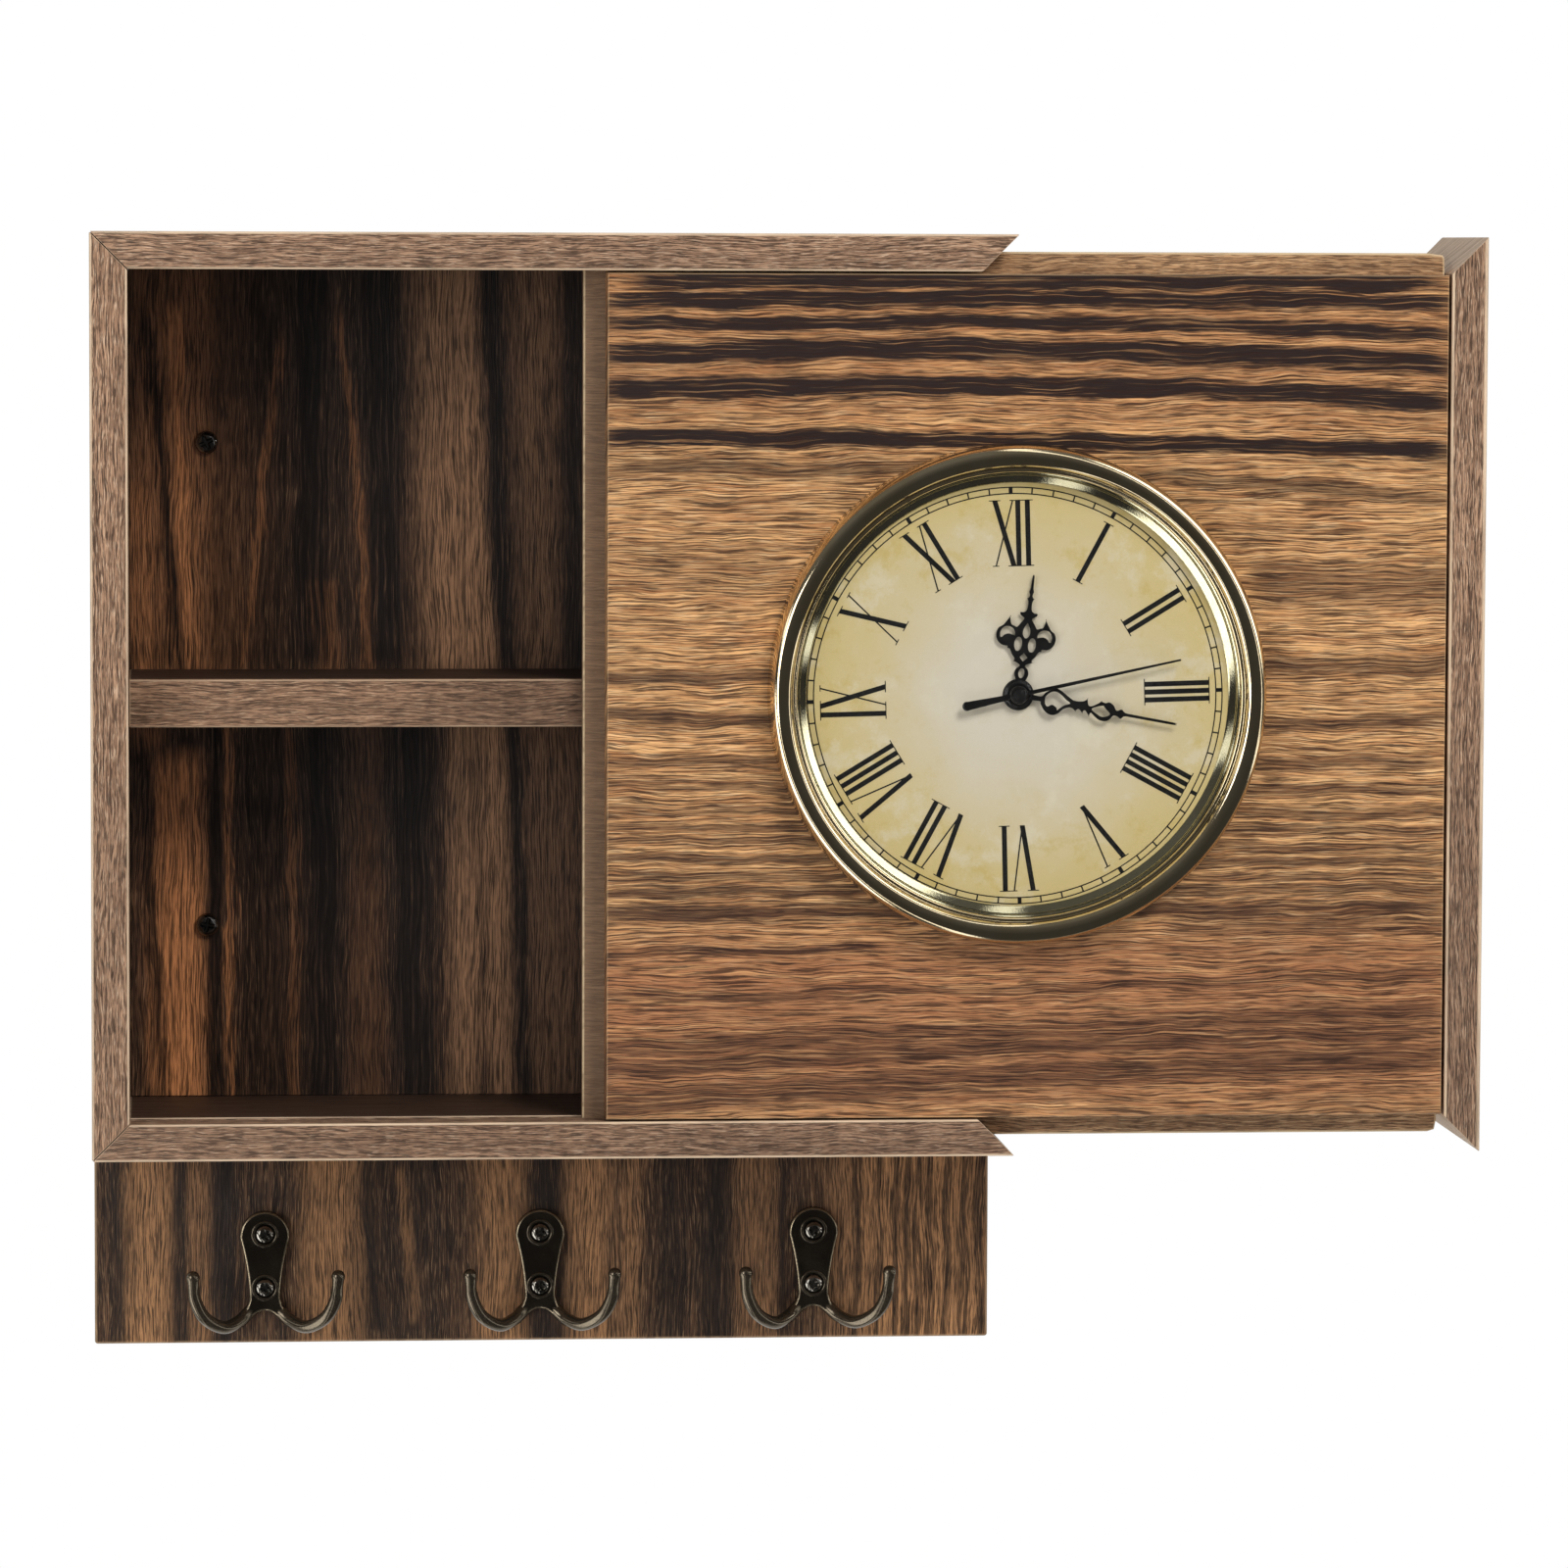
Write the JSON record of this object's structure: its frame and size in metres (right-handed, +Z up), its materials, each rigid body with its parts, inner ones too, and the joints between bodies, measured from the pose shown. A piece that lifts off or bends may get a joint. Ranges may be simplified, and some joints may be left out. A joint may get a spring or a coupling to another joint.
{
  "type": "wall clock diversion safe",
  "caption": "Square wooden wall clock whose clock panel slides sideways to open two hidden bays, with a hook board below.",
  "frame": {"origin": "on the wall plane, at the middle of the closed case", "axes": "+X to the right as seen from the front, +Y into the wall, +Z up; the clock faces -Y"},
  "size_m": [0.393, 0.1077, 0.3215],
  "materials": {
    "frame_wood": "satin stained taupe brown",
    "dark_wood": "satin dark walnut, vertical grain",
    "shelf_wood": "satin brown",
    "backing_wood": "satin light brown",
    "panel_wood": "satin, strong dark and tan horizontal grain",
    "dowel_wood": "bare beech",
    "antique_bronze": "dark bronze with rubbed edges",
    "screw_steel": "bright zinc",
    "black_steel": "blackened",
    "polished_gold": "polished",
    "clear_glass": "clear",
    "dial_face": "printed, aged cream",
    "black_rubber": "matt",
    "black_plastic": "moulded",
    "hand_black": "black lacquer",
    "wheel_brass": "plain",
    "cell_can": "plain green sleeve"
  },
  "bodies": {
    "cabinet": {"left_board": "frame_wood", "top_board": "frame_wood", "bottom_board": "frame_wood", "back_panel": "dark_wood", "hook_board": "dark_wood", "shelf": "shelf_wood", "stop_peg": "dowel_wood", "hook_board_dowel_left": "dowel_wood", "hook_board_dowel_right": "dowel_wood", "hook_left": "antique_bronze", "hook_middle": "antique_bronze", "hook_right": "antique_bronze", "hook_screw_left_upper": "screw_steel", "hook_screw_left_lower": "screw_steel", "hook_screw_middle_upper": "screw_steel", "hook_screw_middle_lower": "screw_steel", "hook_screw_right_upper": "screw_steel", "hook_screw_right_lower": "screw_steel", "shelf_screw_left": "screw_steel", "shelf_screw_middle": "screw_steel", "shelf_screw_right": "screw_steel", "wall_screw_left_upper": "black_steel", "wall_screw_left_lower": "black_steel", "wall_screw_right_upper": "black_steel", "wall_screw_right_lower": "black_steel"},
    "slider": {"backing_board": "backing_wood", "front_panel": "panel_wood", "end_board": "frame_wood", "end_dowel_upper": "dowel_wood", "end_dowel_middle": "dowel_wood", "end_dowel_lower": "dowel_wood", "stop_block": "dowel_wood", "clock_bezel": "polished_gold", "clock_glass": "clear_glass", "clock_reflector": "polished_gold", "clock_dial": "dial_face", "clock_case": "black_plastic", "clock_gasket": "black_rubber", "movement_case": "black_plastic", "movement_cover": "black_plastic", "movement_screw_left": "screw_steel", "movement_screw_right": "screw_steel", "battery": "cell_can", "contact_plus": "wheel_brass", "contact_minus": "wheel_brass", "movement_coil": "wheel_brass"},
    "hour_hand": {"hour_hand": "hand_black", "hour_wheel": "wheel_brass"},
    "minute_hand": {"minute_hand": "hand_black", "minute_wheel": "wheel_brass"},
    "second_hand": {"second_hand": "hand_black", "second_wheel": "wheel_brass"},
    "setting_knob": {"setting_knob": "black_plastic"}
  },
  "joints": [
    {"name": "slider_slide", "type": "slide", "parent": "cabinet", "child": "slider", "axis": [1, 0, 0], "range_m": [-0.133, 0]},
    {"name": "minute_hand_turn", "type": "hinge", "parent": "slider", "child": "minute_hand", "pos_m": [0.1296, -0.0798, 0.001], "axis": [0, 1, 0], "continuous": true},
    {"name": "hour_hand_turn", "type": "hinge", "parent": "slider", "child": "hour_hand", "pos_m": [0.1296, -0.0788, 0.001], "axis": [0, 1, 0], "continuous": true},
    {"name": "second_hand_turn", "type": "hinge", "parent": "slider", "child": "second_hand", "pos_m": [0.1296, -0.0808, 0.001], "axis": [0, 1, 0], "continuous": true},
    {"name": "setting_knob_turn", "type": "hinge", "parent": "slider", "child": "setting_knob", "pos_m": [0.1396, -0.06, -0.015], "axis": [0, 1, 0], "continuous": true}
  ],
  "couplings": [
    {"joint": "hour_hand_turn", "follows": "minute_hand_turn", "ratio": 0.083333},
    {"joint": "setting_knob_turn", "follows": "minute_hand_turn", "ratio": 1}
  ]
}
